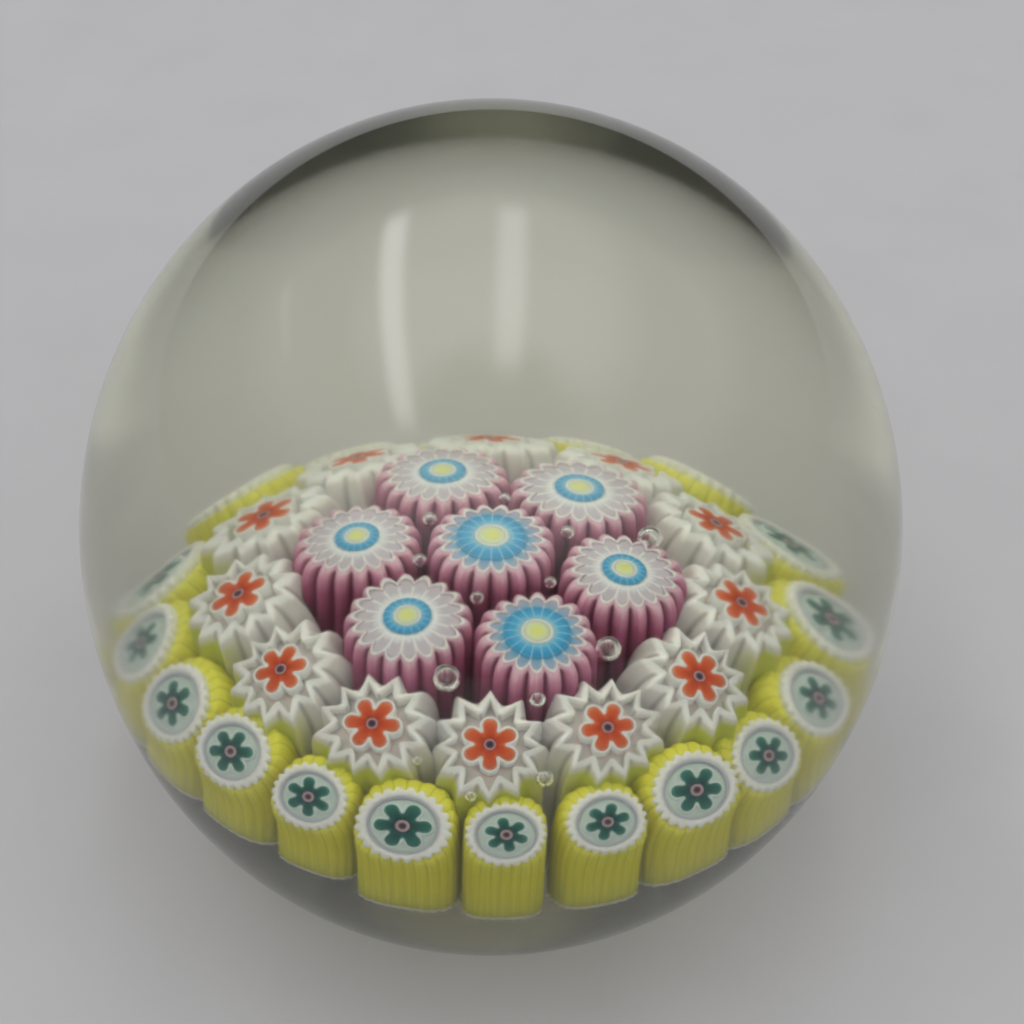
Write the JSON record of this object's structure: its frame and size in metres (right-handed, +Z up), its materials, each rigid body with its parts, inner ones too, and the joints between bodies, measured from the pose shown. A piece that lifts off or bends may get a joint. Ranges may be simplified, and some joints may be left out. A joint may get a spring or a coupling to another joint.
{
  "type": "millefiori glass paperweight",
  "caption": "Clear domed glass paperweight with rings of patterned yellow, white and pink glass canes set over a clear pad, and a flat ground base.",
  "frame": {"origin": "middle of the flat ground face that the paperweight rests on", "axes": "+Z up along the axis of the round glass body, -Y towards the front of the cane pattern"},
  "size_m": [0.075, 0.075, 0.07],
  "materials": {
    "clear_glass": "fire-polished clear glass with a faint grey-green tint, ground flat underneath",
    "yellow_glass": "ribbed lemon-yellow cane glass, slightly translucent",
    "white_glass": "milky white cane glass",
    "lilac_glass": "thin grey-lilac thread glass",
    "grey_green_glass": "translucent grey-green cane glass",
    "green_glass": "deep teal-green cane glass",
    "pale_pink_glass": "pale pinkish-white cane glass",
    "dark_glass": "very dark purple cane glass",
    "pinkish_clear_glass": "translucent pinkish-grey cane glass",
    "orange_glass": "orange-red cane glass",
    "pink_glass": "translucent pink-purple ribbed cane glass",
    "blue_glass": "sky-blue cane glass with fine pale threads",
    "pale_yellow_glass": "pale yellow cane glass"
  },
  "bodies": {
    "root": {"dome_glass": "clear_glass", "base_glass": "clear_glass", "outer_cane_01": "yellow_glass", "outer_cane_02": "yellow_glass", "outer_cane_03": "yellow_glass", "outer_cane_04": "yellow_glass", "outer_cane_05": "yellow_glass", "outer_cane_06": "yellow_glass", "outer_cane_07": "yellow_glass", "outer_cane_08": "yellow_glass", "outer_cane_09": "yellow_glass", "outer_cane_10": "yellow_glass", "outer_cane_11": "yellow_glass", "outer_cane_12": "yellow_glass", "outer_cane_13": "yellow_glass", "outer_cane_14": "yellow_glass", "outer_cane_15": "yellow_glass", "outer_cane_16": "yellow_glass", "outer_cane_17": "yellow_glass", "outer_cane_18": "yellow_glass", "middle_cane_01": "white_glass", "middle_cane_02": "white_glass", "middle_cane_03": "white_glass", "middle_cane_04": "white_glass", "middle_cane_05": "white_glass", "middle_cane_06": "white_glass", "middle_cane_07": "white_glass", "middle_cane_08": "white_glass", "middle_cane_09": "white_glass", "middle_cane_10": "white_glass", "middle_cane_11": "white_glass", "middle_cane_12": "white_glass", "core_cane_0": "pink_glass", "core_cane_1": "pink_glass", "core_cane_2": "pink_glass", "core_cane_3": "pink_glass", "core_cane_4": "pink_glass", "core_cane_5": "pink_glass", "core_cane_6": "pink_glass", "outer_white_jackets": "white_glass", "outer_lilac_threads": "lilac_glass", "outer_clear_fills": "grey_green_glass", "outer_star_outlines": "white_glass", "outer_green_stars": "green_glass", "outer_pale_rings": "pale_pink_glass", "outer_dark_dots": "dark_glass", "middle_clear_fills": "pinkish_clear_glass", "middle_star_outlines": "white_glass", "middle_orange_stars": "orange_glass", "middle_pale_rings": "pale_pink_glass", "middle_dark_dots": "dark_glass", "core_petal_edges": "white_glass", "core_blue_zones": "blue_glass", "core_white_rings": "white_glass", "core_yellow_centres": "pale_yellow_glass"}
  },
  "joints": []
}
